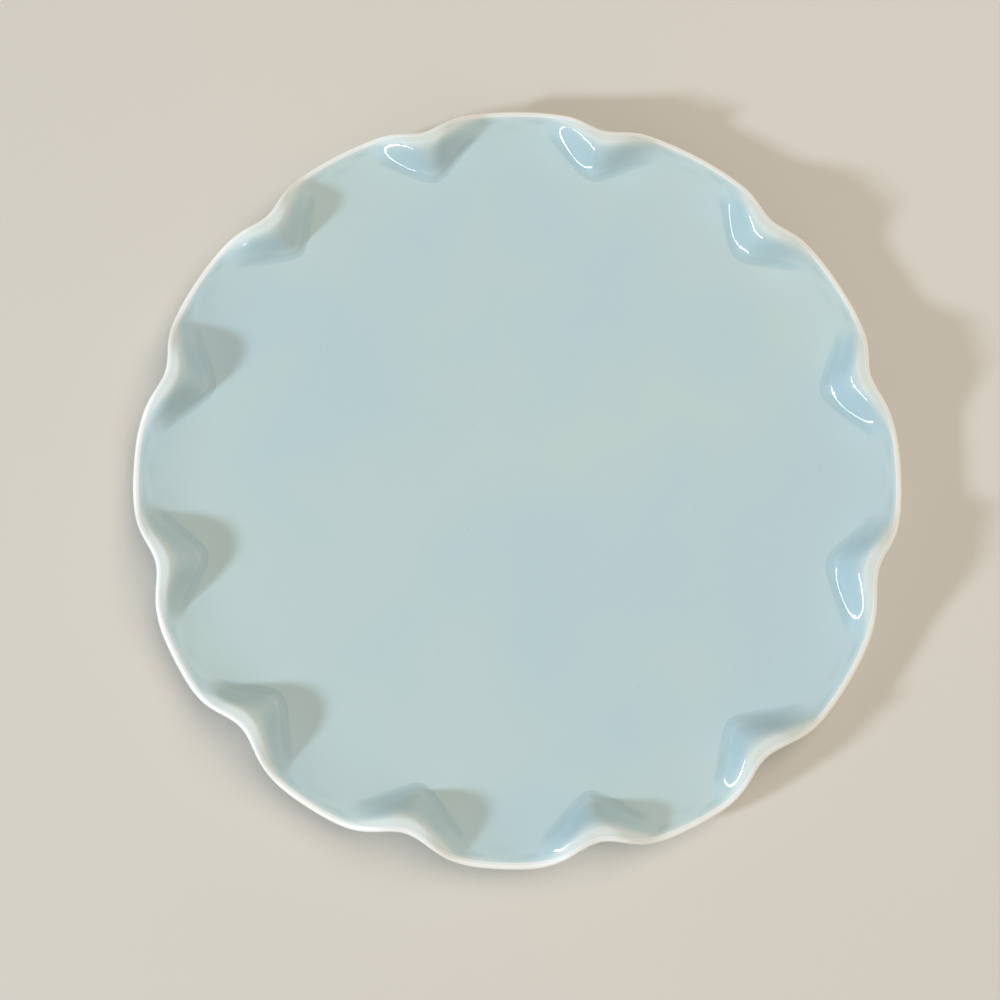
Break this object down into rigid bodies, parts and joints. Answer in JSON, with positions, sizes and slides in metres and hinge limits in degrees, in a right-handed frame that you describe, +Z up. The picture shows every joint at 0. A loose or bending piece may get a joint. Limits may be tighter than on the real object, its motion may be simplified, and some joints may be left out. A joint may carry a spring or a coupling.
{
  "type": "scalloped dessert plate",
  "caption": "Round glazed pottery dessert plate with a flat floor, a ruffled rim pinched up between wide scallops, a pale rim line and a bare foot ring.",
  "frame": {"origin": "centre of the foot ring, on the table", "axes": "+Z up out of the plate's face; +X towards the middle of one scallop, and +Y towards the middle of another"},
  "size_m": [0.203, 0.203, 0.0146],
  "materials": {
    "cream_clay": "fired earthenware, bare and dry on the foot, under a thin clear film on the rim line",
    "blue_glaze": "smooth glossy pale blue glaze"
  },
  "bodies": {
    "root": {"clay_body": "cream_clay", "face_glaze": "blue_glaze", "underside_glaze": "blue_glaze", "foot_well_glaze": "blue_glaze"}
  },
  "joints": []
}
